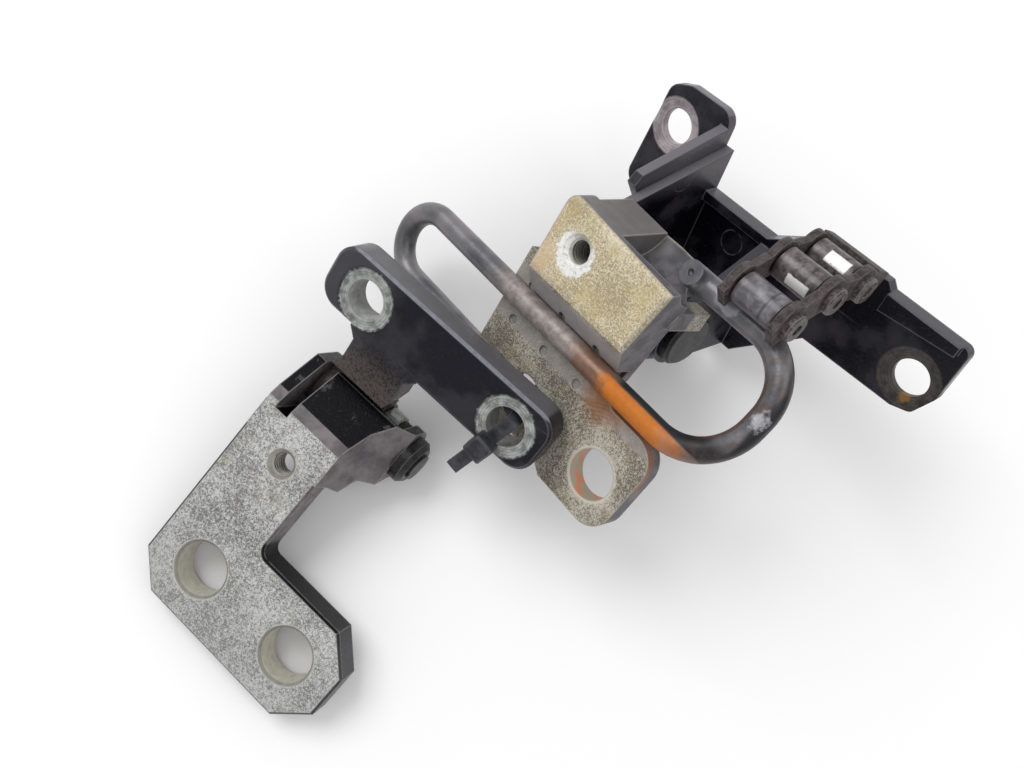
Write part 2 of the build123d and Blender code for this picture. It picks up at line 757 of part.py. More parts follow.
for number, stud_at in enumerate(studs, start=1):
    with BuildPart() as roller_stud:
        with BuildSketch(across(right_body, cage_first)):
            with Locations(stud_at):
                Circle(stud_radius)
        extrude(amount=cage_last - cage_first + cage_wall + cap_height - 0.6)
    save(roller_stud.part, f"roller_stud_{number}")
    with BuildPart() as roller:
        with BuildSketch(across(right_body, roller_start)):
            with Locations(stud_at):
                Circle(roller_radius)
        extrude(amount=roller_length)
        chamfer(roller.edges().filter_by(GeomType.CIRCLE), length=0.4)
        with BuildSketch(across(right_body, roller_start)):
            with Locations(stud_at):
                Circle(stud_radius + pin_fit)
        extrude(amount=roller_length, mode=Mode.SUBTRACT)
    save(roller.part, f"roller_{number}")
    with BuildPart() as roller_cap:
        with BuildSketch(across(right_body, cage_last + cage_wall)):
            with Locations(stud_at):
                Circle(cap_radius)
        extrude(amount=cap_height)
        chamfer(roller_cap.edges().sort_by(pin_axis(right_body))[-1], length=0.5)
        with BuildSketch(across(right_body, cage_last + cage_wall)):
            with Locations(stud_at):
                Circle(stud_radius + press_fit)
        extrude(amount=cap_height, mode=Mode.SUBTRACT)
    save(roller_cap.part, f"roller_cap_{number}")

# Cable tie: a closed band through a hole of the leaf and the flange's hidden hole, round both low edges
tie_hole = left_body.from_local_coords((leaf_hole_along[1], leaf_hole_across, leaf_face))
tie_edge = left_body.from_local_coords((leaf_hole_along[1] - tie_slant, leaf_low, leaf_face))
tie_under = right_door.from_local_coords((*lug_holes[1], flange_back))
tie_side = tie_edge - tie_hole
tie_plane = Plane(tie_hole, x_dir=tie_side, z_dir=tie_side.cross(tie_under - tie_hole))
flange_corner = right_door.from_local_coords((0, flange_hidden_low, flange_back))
flange_edge = tie_plane.to_local_coords(tie_plane.intersect(Axis(flange_corner, right_door.x_dir)))
flange_centre = tie_plane.to_local_coords(tie_under)
flange_slope = (flange_edge.Y - flange_centre.Y) / (flange_edge.X - flange_centre.X)
flange_normal = tie_plane.to_local_coords(tie_plane.origin + right_door.z_dir)
flange_edge_way = tie_plane.to_local_coords(tie_plane.origin + right_door.x_dir)
edge_drift = tie_width / 2 * abs(flange_edge_way.X / flange_edge_way.Z)
face_drift = tie_width / 2 * abs(flange_normal.Z / flange_normal.Y)
leaf_normal = tie_plane.to_local_coords(tie_plane.origin + left_body.z_dir)
leaf_drift = tie_head_wide / 2 * abs(leaf_normal.Z / leaf_normal.Y)
tie_top = -seat_gap - leaf_drift
tie_inside = 2.5 * tie_thick - leaf_hole_radius
tie_outside = max(tie_side.length, flange_edge.X + edge_drift) + running_gap
tie_bottom = flange_centre.Y + face_drift + running_gap
with BuildPart() as cable_tie_band:
    with BuildSketch(tie_plane.offset(-tie_width / 2)):
        with BuildLine() as tie_path:
            FilletPolyline(
                (tie_inside, tie_top),
                (tie_outside, tie_top),
                (tie_outside, tie_bottom + flange_slope * (tie_outside - flange_centre.X)),
                (tie_inside, tie_bottom + flange_slope * (tie_inside - flange_centre.X)),
                radius=tie_corner,
                close=True,
            )
        make_face()
        offset(amount=tie_thick)
        make_face(tie_path.edges(), mode=Mode.SUBTRACT)
        with Locations((tie_outside + tie_tail / 2, tie_top - tie_thick / 2)):
            Rectangle(tie_tail, tie_thick)
    extrude(amount=tie_width)
save(cable_tie_band.part, "cable_tie_band")
with BuildPart() as cable_tie_head:
    head_middle = (tie_side.length - tie_head_back, tie_top - tie_head_high / 2, 0)
    with Locations(tie_plane.location * Location(head_middle)):
        Box(tie_head_long, tie_head_high, tie_head_wide)
    chamfer(cable_tie_head.edges(), length=0.5)
    add(cable_tie_band.part, mode=Mode.SUBTRACT)
save(cable_tie_head.part, "cable_tie_head")
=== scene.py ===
"""Two used car door hinges held together by a cable tie, one with a spring rod and a comb of rollers.

The steel is forged or pressed, then plated or painted, and shows grime, rust and bare bolt seats.
"""
import bpy
import json
from math import pi, radians
from mathutils import Matrix, Vector


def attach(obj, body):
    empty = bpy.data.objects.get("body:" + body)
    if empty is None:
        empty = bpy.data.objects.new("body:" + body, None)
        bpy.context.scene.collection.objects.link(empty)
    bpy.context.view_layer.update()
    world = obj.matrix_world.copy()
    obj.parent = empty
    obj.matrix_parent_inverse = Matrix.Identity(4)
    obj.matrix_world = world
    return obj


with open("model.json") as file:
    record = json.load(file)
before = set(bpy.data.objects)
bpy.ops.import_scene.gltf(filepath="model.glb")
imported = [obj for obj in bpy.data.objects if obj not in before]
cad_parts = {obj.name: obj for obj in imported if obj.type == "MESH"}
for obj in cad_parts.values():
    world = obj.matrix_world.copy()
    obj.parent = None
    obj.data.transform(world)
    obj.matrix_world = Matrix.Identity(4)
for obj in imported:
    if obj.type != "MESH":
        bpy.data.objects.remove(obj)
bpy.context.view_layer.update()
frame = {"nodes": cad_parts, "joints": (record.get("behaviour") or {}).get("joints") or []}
nodes = frame["nodes"]
joints = {joint["name"]: joint for joint in frame["joints"]}

# Left door bracket
# An L shaped steel forging, zinc plated on its flat face and black on its sides, with grime where
# the arm meets the lugs. The walls of its bolt holes keep their yellowish plating.


def hinge_frame(joint, face_way, turn=0.0):
    """Frame of a hinge half: x along the pin, z off the plate's face, turned about the pin in degrees."""
    along = Vector(joint["axis"]).normalized()
    across = Vector(face_way).cross(along).normalized()
    square = Matrix((along, across, along.cross(across))).transposed().to_4x4()
    return Matrix.Translation(joint["pos_m"]) @ square @ Matrix.Rotation(radians(turn), 4, "X")


def colour(red, green, blue):
    """A colour read off a screen, 0 to 255, as the linear colour that a shader takes."""
    shown = (red / 255, green / 255, blue / 255)
    return tuple(c / 12.92 if c < 0.0431 else ((c + 0.055) / 1.055) ** 2.4 for c in shown) + (1,)


def add(tree, kind, settings=(), **inputs):
    """Adds a node. Settings are its properties; inputs are values or sockets, by socket name or number."""
    node = tree.nodes.new(kind)
    for name, value in dict(settings).items():
        setattr(node, name, value)
    for name, value in inputs.items():
        socket = node.inputs[int(name[1:]) if name[1:].isdigit() else name.replace("_", " ")]
        if isinstance(value, bpy.types.NodeSocket):
            tree.links.new(value, socket)
        else:
            socket.default_value = value
    return node


def calc(tree, operation, a, b=0.0, clamp=False):
    """One step of arithmetic on a value."""
    return add(tree, "ShaderNodeMath", {"operation": operation, "use_clamp": clamp}, _0=a, _1=b).outputs[0]


def fade(tree, value, low, high):
    """0 below low, 1 above high and smooth between them; low may be the larger one."""
    node = add(
        tree, "ShaderNodeMapRange",
        {"interpolation_type": "SMOOTHSTEP"},
        Value=value,
        From_Min=low,
        From_Max=high,
    )
    return node.outputs[0]


def blend(tree, mask, below, above):
    """One colour over another by a mask."""
    node = add(tree, "ShaderNodeMix", {"data_type": "RGBA"}, _0=mask, _6=below, _7=above)
    return node.outputs[2]


def blend_value(tree, mask, below, above):
    """One value over another by a mask."""
    return add(tree, "ShaderNodeMix", {"data_type": "FLOAT"}, _0=mask, _2=below, _3=above).outputs[0]


def overlap(tree, first, *others):
    """A mask of where all of several masks meet."""
    for other in others:
        first = calc(tree, "MULTIPLY", first, other)
    return first


def over(tree, base, tone, mask, strength=1.0):
    """Lays a tone over a base colour where a mask says, at a strength."""
    return blend(tree, calc(tree, "MULTIPLY", mask, strength), base, tone)


def waver(tree, value, noise, reach):
    """A value with a noise added to it, so that a mask made from it has a ragged border."""
    return calc(tree, "ADD", value, calc(tree, "MULTIPLY", noise, reach))


def grain(tree, where, size, detail=3.0, rough=0.6, seed=0.0):
    """Smooth random values about 0.5, with lumps of a size in metres."""
    node = add(
        tree, "ShaderNodeTexNoise",
        {"noise_dimensions": "4D"},
        Vector=where,
        W=seed,
        Scale=1 / size,
        Detail=detail,
        Roughness=rough,
    )
    return node.outputs[0]


def facing_way(tree, hinge, axis):
    """How far a surface faces along an axis of a hinge's frame, -1 to 1."""
    normal = add(tree, "ShaderNodeTexCoord").outputs["Normal"]
    return add(
        tree, "ShaderNodeVectorMath", {"operation": "DOT_PRODUCT"}, _0=normal, _1=hinge.col[axis][:3]
    ).outputs["Value"]


def local_place(tree, hinge):
    """A point and its normal in a hinge's frame: the vector, its x, y and z, and how far it faces along z."""
    source = add(tree, "ShaderNodeTexCoord")
    place = add(tree, "ShaderNodeMapping", {"vector_type": "TEXTURE"}, Vector=source.outputs["Object"])
    place.inputs["Location"].default_value = hinge.to_translation()
    place.inputs["Rotation"].default_value = hinge.to_euler()
    split = add(tree, "ShaderNodeSeparateXYZ", Vector=place.outputs[0])
    return place.outputs[0], split.outputs[0], split.outputs[1], split.outputs[2], facing_way(tree, hinge, 2)


def effect(name, inputs, outputs):
    """An empty node group with named inputs and outputs, and the nodes at its two ends."""
    tree = bpy.data.node_groups.new(name, "ShaderNodeTree")
    for label, kind, value in inputs:
        socket = tree.interface.new_socket(label, in_out="INPUT", socket_type=kind)
        if value is not None:
            socket.default_value = value
    for label, kind in outputs:
        tree.interface.new_socket(label, in_out="OUTPUT", socket_type=kind)
    return tree, tree.nodes.new("NodeGroupInput"), tree.nodes.new("NodeGroupOutput")


def worn_edges():
    """Mask of the edges that are rubbed bare, broken up by grain, and the normal of an eased edge."""
    tree, given, result = effect(
        "worn_edges",
        [("Width", "NodeSocketFloat", 0.0008), ("Wear", "NodeSocketFloat", 0.5)],
        [("Mask", "NodeSocketFloat"), ("Normal", "NodeSocketVector")],
    )
    eased = add(tree, "ShaderNodeBevel", {"samples": 6}, Radius=given.outputs["Width"])
    flat = add(tree, "ShaderNodeNewGeometry")
    same = add(
        tree, "ShaderNodeVectorMath",
        {"operation": "DOT_PRODUCT"},
        _0=eased.outputs[0],
        _1=flat.outputs["True Normal"],
    )
    place = add(tree, "ShaderNodeTexCoord").outputs["Object"]
    edge = fade(tree, same.outputs["Value"], 0.995, 0.90)
    patches = calc(
        tree, "ADD", grain(tree, place, 0.004, 4), calc(tree, "MULTIPLY", given.outputs["Wear"], 0.5)
    )
    mask = overlap(tree, edge, fade(tree, patches, 0.62, 0.78))
    tree.links.new(mask, result.inputs["Mask"])
    tree.links.new(eased.outputs[0], result.inputs["Normal"])
    return tree


def plated_specks():
    """Fine light and dark specks of an old plated surface, with wider clouds, and their height."""
    tree, given, result = effect(
        "plated_specks",
        [
            ("Place", "NodeSocketVector", None),
            ("Dark", "NodeSocketColor", colour(96, 97, 98)),
            ("Light", "NodeSocketColor", colour(196, 197, 196)),
            ("Clouds", "NodeSocketFloat", 0.4),
        ],
        [("Color", "NodeSocketColor"), ("Height", "NodeSocketFloat")],
    )
    place = given.outputs["Place"]
    fine = grain(tree, place, 0.00042, 2, 0.75)
    coarse = grain(tree, place, 0.0008, 3, 0.7, 3.0)
    cloud = grain(tree, place, 0.014, 3, 0.6, 7.0)
    specks = calc(tree, "ADD", calc(tree, "MULTIPLY", fine, 0.6), calc(tree, "MULTIPLY", coarse, 0.4))
    drift = calc(tree, "MULTIPLY", calc(tree, "SUBTRACT", cloud, 0.5), given.outputs["Clouds"])
    level = fade(tree, calc(tree, "ADD", specks, drift), 0.40, 0.60)
    tree.links.new(blend(tree, level, given.outputs["Dark"], given.outputs["Light"]), result.inputs["Color"])
    tree.links.new(specks, result.inputs["Height"])
    return tree


def bolt_ring():
    """Mask of a flat ring round a centre, seen square to the plate, with a scuffed border."""
    tree, given, result = effect(
        "bolt_ring",
        [
            ("Place", "NodeSocketVector", None),
            ("Centre", "NodeSocketVector", None),
            ("Radius", "NodeSocketFloat", 0.009),
            ("Ragged", "NodeSocketFloat", 0.0022),
        ],
        [("Mask", "NodeSocketFloat"), ("Distance", "NodeSocketFloat")],
    )
    apart = add(
        tree, "ShaderNodeVectorMath",
        {"operation": "SUBTRACT"},
        _0=given.outputs["Place"],
        _1=given.outputs["Centre"],
    )
    flat = add(tree, "ShaderNodeVectorMath", {"operation": "MULTIPLY"}, _0=apart.outputs[0], _1=(1, 1, 0))
    distance = add(tree, "ShaderNodeVectorMath", {"operation": "LENGTH"}, _0=flat.outputs[0]).outputs["Value"]
    ragged = calc(
        tree, "MULTIPLY",
        calc(tree, "SUBTRACT", grain(tree, given.outputs["Place"], 0.0012, 4), 0.5),
        given.outputs["Ragged"],
    )
    inside = calc(tree, "SUBTRACT", calc(tree, "ADD", distance, ragged), given.outputs["Radius"])
    tree.links.new(fade(tree, inside, 0.00035, -0.00035), result.inputs["Mask"])
    tree.links.new(distance, result.inputs["Distance"])
    return tree


def use(tree, group, **inputs):
    """Places a shared effect in a material."""
    return add(tree, "ShaderNodeGroup", {"node_tree": group}, **inputs)


def finish_material(name, build, metallic=0.0, specular=0.5):
    """A material whose colour, roughness, bump height and normal a function of its own builds."""
    material = bpy.data.materials.new(name)
    material.use_nodes = True
    tree = material.node_tree
    shader = tree.nodes["Principled BSDF"]
    shader.inputs["Metallic"].default_value = metallic
    shader.inputs["Specular IOR Level"].default_value = specular
    base, rough, height, depth, normal = build(tree)
    tree.links.new(base, shader.inputs["Base Color"])
    tree.links.new(rough, shader.inputs["Roughness"])
    bump = add(tree, "ShaderNodeBump", Height=height, Distance=depth, Strength=1.0)
    if normal is not None:
        tree.links.new(normal, bump.inputs["Normal"])
    tree.links.new(bump.outputs[0], shader.inputs["Normal"])
    return material


def clothe(material, *names):
    """Gives CAD nodes their material and slot."""
    for name in names:
        node = nodes[name]
        node.data.materials.clear()
        node.data.materials.append(material)


edge_effect, speck_effect, ring_effect = worn_edges(), plated_specks(), bolt_ring()
left_facing, door_turn = (-0.4162, -0.45, 0.7901), -19.3
left_door = hinge_frame(joints["left_hinge"], left_facing, door_turn)
foot_holes = [(-0.0044, -0.0604, 0), (0.0312, -0.0604, 0)]
left_thread = (-0.0056, -0.0200, 0)
foot_wall, thread_wall = 0.0092, 0.0048
thread_radius, thread_pitch, thread_ridge = 0.0034, 0.00125, 0.00045
# Places in the hinge's frame between which a finish fades in: heights off the pin, then along and across it
plate_face = (0.0195, 0.0208)
foot_end, foot_shade, arm_start = (0.036, 0.044), (-0.040, -0.075), (-0.0415, -0.0395)
lug_start, lug_scuffs, lug_grime = (-0.012, -0.009), (-0.012, -0.004), (-0.014, -0.004)


def forged_and_plated(tree):
    place, along, across, height, facing = local_place(tree, left_door)
    specks = use(
        tree, speck_effect, Place=place, Dark=colour(112, 112, 111), Light=colour(206, 206, 203), Clouds=0.25
    )
    wear = use(tree, edge_effect, Width=0.0007, Wear=0.7)
    face = overlap(tree, fade(tree, facing, 0.96, 0.98), fade(tree, height, *plate_face))
    grime = fade(
        tree,
        calc(tree, "ADD", grain(tree, place, 0.009, 5, 0.7, 2.0), calc(tree, "MULTIPLY", across, 1.6)),
        0.46, 0.68,
    )
    dull = over(tree, specks.outputs["Color"], colour(128, 122, 100), grime, 0.6)
    shaded = over(tree, dull, colour(140, 144, 142), fade(tree, across, *foot_shade), 0.25)
    # The foot's sides are gloss black, the arm's side and the strip above the lugs a dull mauve grey
    black = blend(tree, fade(tree, along, *foot_end), colour(5, 5, 10), colour(62, 61, 65))
    mauve = blend(
        tree,
        fade(tree, grain(tree, place, 0.006, 4, 0.6, 12.0), 0.36, 0.64),
        colour(98, 92, 95),
        colour(132, 126, 128),
    )
    arm_side = overlap(
        tree, fade(tree, facing_way(tree, left_door, 0), 0.3, 0.6), fade(tree, across, *arm_start)
    )
    strip = overlap(
        tree, fade(tree, facing, 0.86, 0.89), fade(tree, facing, 0.97, 0.94), fade(tree, across, *lug_start)
    )
    black = over(tree, black, mauve, calc(tree, "MAXIMUM", arm_side, strip), 0.9)
    scuffed = overlap(
        tree, fade(tree, across, *lug_scuffs), fade(tree, grain(tree, place, 0.005, 4, 0.6, 5.0), 0.6, 0.66)
    )
    black = over(tree, black, colour(84, 80, 80), scuffed, 0.6)
    dusty = over(
        tree, black,
        colour(128, 120, 112),
        fade(tree, grain(tree, place, 0.0007, 4, 0.8, 9.0), 0.58, 0.72),
        0.25,
    )
    yellow_grime = overlap(
        tree, fade(tree, grain(tree, place, 0.004, 4, 0.7, 4.0), 0.64, 0.7), fade(tree, across, *lug_grime)
    )
    sides = over(tree, dusty, colour(120, 108, 66), yellow_grime, 0.6)
    painted = blend(tree, face, sides, shaded)
    walls = None
    for centre in foot_holes + [left_thread]:
        radius = foot_wall if centre in foot_holes else thread_wall
        ring = use(tree, ring_effect, Place=place, Centre=centre, Radius=radius)
        walls = ring.outputs["Mask"] if walls is None else calc(tree, "MAXIMUM", walls, ring.outputs["Mask"])
    in_bore = overlap(tree, walls, fade(tree, facing, 0.9, 0.5))
    plated = blend(
        tree, in_bore, painted,
        blend(tree, grain(tree, place, 0.002, 3), colour(164, 162, 148), colour(222, 220, 206)),
    )
    plated = over(tree, plated, colour(196, 196, 190), calc(tree, "MULTIPLY", walls, face), 0.5)
    base = over(tree, plated, colour(176, 176, 172), wear.outputs["Mask"], 0.75)
    rough = blend_value(tree, face, 0.20, 0.50)
    rough = waver(tree, rough, grain(tree, place, 0.003, 3), 0.18)
    return base, rough, specks.outputs["Height"], 0.00016, wear.outputs["Normal"]


def thread_turns():
    """A node group that lays a thread's ridges along a spiral: radius, pitch, number of turns, ridge."""
    tree = bpy.data.node_groups.new("thread_turns", "GeometryNodeTree")
    tree.interface.new_socket("Geometry", in_out="OUTPUT", socket_type="NodeSocketGeometry")
    named = (("Radius", thread_radius), ("Pitch", thread_pitch), ("Turns", 6.0), ("Ridge", thread_ridge))
    for label, value in named:
        tree.interface.new_socket(label, in_out="INPUT", socket_type="NodeSocketFloat").default_value = value
    tree.interface.new_socket("Material", in_out="INPUT", socket_type="NodeSocketMaterial")
    given, result = tree.nodes.new("NodeGroupInput"), tree.nodes.new("NodeGroupOutput")
    radius = given.outputs["Radius"]
    rise = calc(tree, "MULTIPLY", given.outputs["Pitch"], given.outputs["Turns"])
    spiral = add(
        tree, "GeometryNodeCurveSpiral",
        Resolution=48,
        Rotations=given.outputs["Turns"],
        Start_Radius=radius,
        End_Radius=radius,
        Height=rise,
    )
    ridge = add(tree, "GeometryNodeCurvePrimitiveCircle", Resolution=6, Radius=given.outputs["Ridge"])
    swept = add(
        tree, "GeometryNodeCurveToMesh", Curve=spiral.outputs["Curve"], Profile_Curve=ridge.outputs["Curve"]
    )
    swept.inputs["Fill Caps"].default_value = True
    whole = add(tree, "GeometryNodeRealizeInstances", Geometry=swept.outputs["Mesh"])
    dressed = add(
        tree, "GeometryNodeSetMaterial",
        Geometry=whole.outputs["Geometry"],
        Material=given.outputs["Material"],
    )
    tree.links.new(dressed.outputs["Geometry"], result.inputs["Geometry"])
    return tree


def cut_thread(name, hinge, at, top, turns, material, body):
    """Builds the ridges of a threaded hole from the node group and leaves them as a plain mesh."""
    maker = bpy.data.objects.new(name + "_maker", bpy.data.meshes.new(name + "_maker"))
    bpy.context.scene.collection.objects.link(maker)
    step = maker.modifiers.new("turns", "NODES")
    step.node_group = turns_effect
    chosen = {
        "Radius": thread_radius,
        "Pitch": thread_pitch,
        "Turns": turns,
        "Ridge": thread_ridge,
        "Material": material,
    }
    for socket in turns_effect.interface.items_tree:
        if socket.in_out == "INPUT":
            step[socket.identifier] = chosen[socket.name]
    mesh = bpy.data.meshes.new_from_object(maker.evaluated_get(bpy.context.evaluated_depsgraph_get()))
    bpy.data.objects.remove(maker)
    mesh.transform(hinge @ Matrix.Translation((at[0], at[1], top - turns * thread_pitch)))
    mesh.materials.clear()
    mesh.materials.append(material)
    ridges = bpy.data.objects.new(name, mesh)
    bpy.context.scene.collection.objects.link(ridges)
    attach(ridges, body)


turns_effect = thread_turns()
forging = finish_material("plated_and_black_forging", forged_and_plated, specular=0.14)
clothe(forging, "left_door_bracket")
cut_thread(
    "left_thread_turns", left_door, left_thread,
    top=0.0206,
    turns=5.5,
    material=forging,
    body="left_door_half",
)

# Left hinge pin and what it carries
# A turned steel pin with a ring at its end, a smooth plated sleeve and a coarse dark friction
# washer, all oily and dusty. The barrel's bush hardly shows.


def oily_steel(dark, light, rough, size=0.0016, depth=0.00008):
    """Builds a dark turned steel with a film of oil and dust in patches."""
    def build(tree):
        place = local_place(tree, left_door)[0]
        wear = use(tree, edge_effect, Width=0.0005, Wear=0.8)
        film = fade(tree, grain(tree, place, size * 3, 5, 0.7), 0.38, 0.66)
        dust = fade(tree, grain(tree, place, 0.0005, 3, 0.8, 4.0), 0.52, 0.70)
        body = blend(tree, film, colour(*dark), colour(*light))
        body = over(tree, body, colour(112, 104, 96), dust, 0.25)
        base = over(tree, body, colour(160, 158, 154), wear.outputs["Mask"], 0.6)
        uneven = calc(tree, "ADD", calc(tree, "MULTIPLY", film, 0.25), rough)
        return base, uneven, grain(tree, place, size, 4, 0.7, 6.0), depth, wear.outputs["Normal"]
    return build


pin_finish = oily_steel((14, 14, 17), (48, 46, 46), 0.22)
sleeve_finish = oily_steel((120, 124, 120), (172, 176, 172), 0.22, size=0.003, depth=0.00002)
washer_finish = oily_steel((18, 17, 17), (56, 51, 47), 0.5, size=0.0006, depth=0.0005)
bush_finish = oily_steel((78, 56, 34), (128, 98, 62), 0.35)
clothe(finish_material("oily_dark_steel", pin_finish, specular=0.3), "left_hinge_pin", "left_pin_collar")
clothe(finish_material("smooth_sleeve_steel", sleeve_finish, metallic=0.5), "left_pin_sleeve")
clothe(finish_material("coarse_washer_steel", washer_finish, specular=0.3), "left_friction_washer")
clothe(finish_material("oiled_bronze", bush_finish, metallic=0.5), "left_pin_bush")

# Left body leaf
# A T shaped forging in gloss black paint with a dusty stem. The bolt heads have left bare grey
# rings round both holes.

left_body = hinge_frame(joints["left_hinge"], left_facing)
leaf_holes = [(-0.0159, 0.0382, 0), (0.0364, 0.0382, 0)]
seat_radius = 0.0088
far_end_start, stem_start = (0.000, -0.014), (0.034, 0.018)
long_side, ridge_highlight_start = (0.0484, 0.0489), (0.0478, 0.0483)


def outside(tree, mask):
    """Everywhere that a mask is not."""
    return calc(tree, "SUBTRACT", 1.0, mask, clamp=True)


def black_paint(tree, hinge, deep, pale, patch, patch_seed):
    """Gloss black paint that has gone dull in patches, with fine dust and rubbed edges."""
    place, along, across, _, facing = local_place(tree, hinge)
    wear = use(tree, edge_effect, Width=0.0007, Wear=0.8)
    dull = fade(tree, grain(tree, place, patch, 4, 0.55, patch_seed), 0.50, 0.66)
    body = blend(tree, dull, colour(*deep), colour(*pale))
    specks = fade(tree, grain(tree, place, 0.0006, 4, 0.85, 3.0), 0.57, 0.70)
    body = over(tree, body, colour(120, 112, 106), specks, 0.22)
    scratches = add(
        tree, "ShaderNodeMapping",
        {"vector_type": "POINT"},
        Vector=place,
        Scale=(30, 900, 200),
        Rotation=(0, 0, 0.5),
    ).outputs[0]
    fine = fade(tree, grain(tree, scratches, 1.0, 3, 0.6, 8.0), 0.66, 0.74)
    body = over(tree, body, colour(126, 126, 130), fine, 0.25)
    body = over(tree, body, colour(140, 140, 146), wear.outputs["Mask"], 0.6)
    rough = calc(
        tree, "ADD",
        calc(tree, "MULTIPLY", dull, 0.28),
        calc(tree, "ADD", calc(tree, "MULTIPLY", specks, 0.2), 0.16),
    )
    bumps = grain(tree, place, 0.0009, 4, 0.7, 2.0)
    return (place, along, across, facing), body, rough, bumps, wear.outputs["Normal"]


def bare_seat(tree, place, centre, base, rough, light=(182, 184, 180), dark=(100, 102, 101), ragged=0.0022):
    """Lays the bare ring under a bolt head over a colour and a roughness, with a dirty border."""
    ring = use(tree, ring_effect, Place=place, Centre=centre, Radius=seat_radius, Ragged=ragged).outputs
    mottle = fade(tree, grain(tree, place, 0.0026, 5, 0.65), 0.32, 0.68)
    metal = blend(tree, mottle, colour(*dark), colour(*light))
    rim = fade(tree, ring["Distance"], seat_radius - 0.0022, seat_radius - 0.0030)
    metal = over(tree, metal, colour(*light), rim, 0.45)
    # Fine lines that the turning bolt head has left, 0.8 mm apart
    warp = waver(tree, ring["Distance"], grain(tree, place, 0.003, 3), 0.0007)
    turned = add(
        tree, "ShaderNodeMath", {"operation": "SINE"}, _0=calc(tree, "MULTIPLY", warp, 2 * pi / 0.0008)
    ).outputs[0]
    metal = over(tree, metal, colour(*dark), fade(tree, turned, 0.1, 0.95), 0.45)
    edge = overlap(
        tree, fade(tree, ring["Distance"], seat_radius + 0.0011, seat_radius), outside(tree, ring["Mask"])
    )
    base = over(tree, base, colour(26, 26, 28), edge, 0.6)
    return blend(tree, ring["Mask"], base, metal), blend_value(tree, ring["Mask"], rough, 0.42)


def leaf_paint(tree):
    coords, base, rough, bumps, normal = black_paint(
        tree, left_body, deep=(14, 15, 26), pale=(43, 43, 49), patch=0.016, patch_seed=1.4
    )
    place, along, across, facing = coords
    far_end = fade(tree, waver(tree, along, grain(tree, place, 0.004, 4), 0.008), *far_end_start)
    base = over(tree, base, colour(74, 73, 78), far_end, 0.75)
    # The long side is painted grey under a painted highlight along its ridge
    side = overlap(tree, fade(tree, across, *long_side), fade(tree, facing, 0.5, 0.3))
    base = over(
        tree, base,
        blend(tree, grain(tree, place, 0.005, 4), colour(84, 84, 88), colour(112, 111, 114)),
        side, 0.85,
    )
    # Painted highlight: a pale band along the ridge of the long side
    ridge = overlap(
        tree, fade(tree, across, *ridge_highlight_start), fade(tree, facing, 0.95, 0.8), fade(tree, facing, 0.45, 0.6)
    )
    base = over(
        tree, base,
        blend(tree, grain(tree, place, 0.0014, 4, 0.7, 3.0), colour(92, 92, 102), colour(156, 156, 168)),
        ridge, 0.85,
    )
    stem = fade(tree, across, *stem_start)
    dust = fade(
        tree,
        calc(tree, "ADD", grain(tree, place, 0.0007, 3, 0.9), calc(tree, "MULTIPLY", stem, 0.1)),
        0.5, 0.6,
    )
    base = over(tree, base, colour(29, 27, 29), stem, 0.6)
    base = over(tree, base, colour(124, 110, 100), calc(tree, "MULTIPLY", dust, stem), 0.34)
    for centre in leaf_holes:
        base, rough = bare_seat(tree, place, centre, base, rough)
    return base, rough, bumps, 0.00010, normal


clothe(finish_material("leaf_black_paint", leaf_paint, specular=0.25), "left_body_leaf")

# Right door bracket
# A steel forging with a square block over the pin's barrel and a flange with bolt holes, zinc
# plated and yellowed, with bare rings where screws sat and rust where the rod leaves its groove.

right_facing = (-0.6345, -0.2202, 0.7409)
right_door = hinge_frame(joints["right_hinge"], right_facing)
right_thread = (-0.0103, 0.0122, 0)
thread_mouth, thread_scuff, scuff_radius = 0.0044, (-0.0106, 0.0112, 0), 0.0060
lug_hole, lug_rim = (0.0254, -0.0340, 0), 0.0079
washer_centre, washer_radius, mark_spacing = (0.0240, -0.0325, 0), 0.0175, 0.0011
groove_end, groove_across = (0.0165, -0.0150, 0.0335), -0.0115
# Places in the hinge's frame between which a finish fades in: block, flange, stop, lug, thread and marks
block_top, speck_line, slope_start = (0.0385, 0.0395), (0.0372, 0.0394), (0.0035, 0.0025)
flank_start, flank_end, pink_start = (0.0170, 0.0200), (0.004, -0.004), (-0.004, -0.018)
flange_top, flange_foot, lip_reach = (0.0345, 0.0335), (0.0300, 0.0315), (0.0088, 0.0078)
stop_top, stop_foot, stop_side = (0.0215, 0.0205), (0.0120, 0.0125), (0.0115, 0.0125)
lug_low, lug_high, lug_side = (-0.033, -0.026), (-0.012, -0.016), (0.012, 0.017)
scuff_height, scuff_side = (0.0365, 0.0385), (0.0175, 0.0135)
thread_depth, marks_end = (0.0384, 0.0378), (0.0225, 0.0165)


def size_of(tree, value):
    """A value without its sign."""
    return add(tree, "ShaderNodeMath", {"operation": "ABSOLUTE"}, _0=value).outputs[0]


def away_from(tree, place, centre):
    """How far a point is from a centre."""
    return add(tree, "ShaderNodeVectorMath", {"operation": "DISTANCE"}, _0=place, _1=centre).outputs["Value"]


